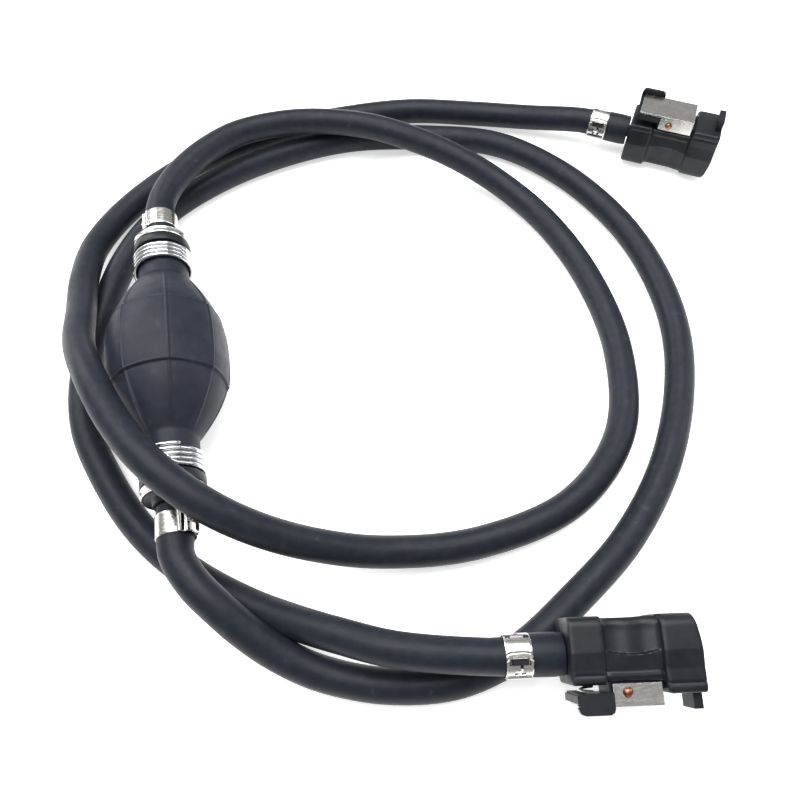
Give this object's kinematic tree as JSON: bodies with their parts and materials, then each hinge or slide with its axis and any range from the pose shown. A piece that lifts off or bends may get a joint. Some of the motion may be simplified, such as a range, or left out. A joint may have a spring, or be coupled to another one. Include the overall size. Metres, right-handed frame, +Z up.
{
  "type": "siphon bulb pump",
  "caption": "Rubber squeeze-bulb pump with one-way valves, two looped rubber hoses held by band clamps, and a latching push-on connector on each hose end.",
  "frame": {"origin": "under the middle of the bulb, on the surface that it lies on", "axes": "+Z up; +Y along the bulb towards its outlet end; +X from the bulb across the hose loops towards the connectors"},
  "size_m": [0.3475, 0.3446, 0.0535],
  "materials": {
    "bulb_rubber": "matte moulded rubber with a faint sheen",
    "hose_rubber": "smooth extruded rubber, satin",
    "black_nylon": "moulded black nylon, fine texture",
    "valve_plastic": "moulded dark plastic",
    "stainless": "rolled stainless strip",
    "zinc_wire": "bright zinc-plated wire",
    "spring_steel": "drawn spring wire",
    "steel_ball": "polished",
    "copper_pin": "bare coppered rivet",
    "seal_rubber": "smooth nitrile"
  },
  "bodies": {
    "bulb_and_hoses": {"squeeze_bulb": "bulb_rubber", "inlet_spring_cage": "valve_plastic", "outlet_valve_seat": "valve_plastic", "inlet_wire_clamp": "zinc_wire", "inlet_valve_body": "black_nylon", "inlet_trim_ring": "stainless", "inlet_valve_spring": "spring_steel", "inlet_connector_housing": "black_nylon", "inlet_connector_barb": "black_nylon", "inlet_connector_seal": "seal_rubber", "inlet_connector_spring": "spring_steel", "inlet_latch_pin": "copper_pin", "inlet_latch_spring": "spring_steel", "inlet_hose": "hose_rubber", "inlet_bulb_band": "stainless", "inlet_connector_band": "stainless", "outlet_wire_clamp": "zinc_wire", "outlet_valve_body": "black_nylon", "outlet_trim_ring": "stainless", "outlet_valve_spring": "spring_steel", "outlet_connector_housing": "black_nylon", "outlet_connector_barb": "black_nylon", "outlet_connector_seal": "seal_rubber", "outlet_connector_spring": "spring_steel", "outlet_latch_pin": "copper_pin", "outlet_latch_spring": "spring_steel", "outlet_hose": "hose_rubber", "outlet_bulb_band": "stainless", "outlet_connector_band": "stainless"},
    "thumb_panel": {"bulb_thumb_panel": "bulb_rubber"},
    "inlet_valve": {"inlet_valve_disc": "valve_plastic"},
    "outlet_valve": {"outlet_valve_disc": "valve_plastic"},
    "inlet_check_ball": {"inlet_connector_ball": "steel_ball"},
    "outlet_check_ball": {"outlet_connector_ball": "steel_ball"},
    "inlet_latch": {"inlet_latch_plate": "stainless", "inlet_latch_thumb_pad": "black_nylon"},
    "outlet_latch": {"outlet_latch_plate": "stainless", "outlet_latch_thumb_pad": "black_nylon"}
  },
  "joints": [
    {"name": "bulb_squeeze", "type": "slide", "parent": "bulb_and_hoses", "child": "thumb_panel", "axis": [0, 0, -1], "range_m": [0, 0.008], "stiffness_N_per_m": 1500},
    {"name": "inlet_valve_lift", "type": "slide", "parent": "bulb_and_hoses", "child": "inlet_valve", "axis": [0, 1, 0], "range_m": [0, 0.0025], "stiffness_N_per_m": 60, "springref_m": -0.0005, "deforming": ["inlet_valve_spring"]},
    {"name": "outlet_valve_lift", "type": "slide", "parent": "bulb_and_hoses", "child": "outlet_valve", "axis": [0, 1, 0], "range_m": [0, 0.0025], "stiffness_N_per_m": 60, "springref_m": -0.0005, "deforming": ["outlet_valve_spring"]},
    {"name": "inlet_ball_push", "type": "slide", "parent": "bulb_and_hoses", "child": "inlet_check_ball", "axis": [-0.989, 0.1478, 0], "range_m": [0, 0.0025], "stiffness_N_per_m": 200, "springref_m": -0.0005, "deforming": ["inlet_connector_spring"]},
    {"name": "inlet_latch_press", "type": "hinge", "parent": "bulb_and_hoses", "child": "inlet_latch", "pos_m": [0.15012, -0.16634, 0.02028], "axis": [0.0333, 0.2225, -0.9744], "range_deg": [0, 7], "stiffness_Nm_per_rad": 0.35, "springref_deg": -1.15, "deforming": ["inlet_latch_spring"]},
    {"name": "outlet_ball_push", "type": "slide", "parent": "bulb_and_hoses", "child": "outlet_check_ball", "axis": [-0.8615, 0.5075, -0.014], "range_m": [0, 0.0025], "stiffness_N_per_m": 200, "springref_m": -0.0005, "deforming": ["outlet_connector_spring"]},
    {"name": "outlet_latch_press", "type": "hinge", "parent": "bulb_and_hoses", "child": "outlet_latch", "pos_m": [0.26953, 0.10491, 0.02654], "axis": [-0.5043, -0.8523, 0.1392], "range_deg": [0, 7], "stiffness_Nm_per_rad": 0.35, "springref_deg": -1.15, "deforming": ["outlet_latch_spring"]}
  ]
}
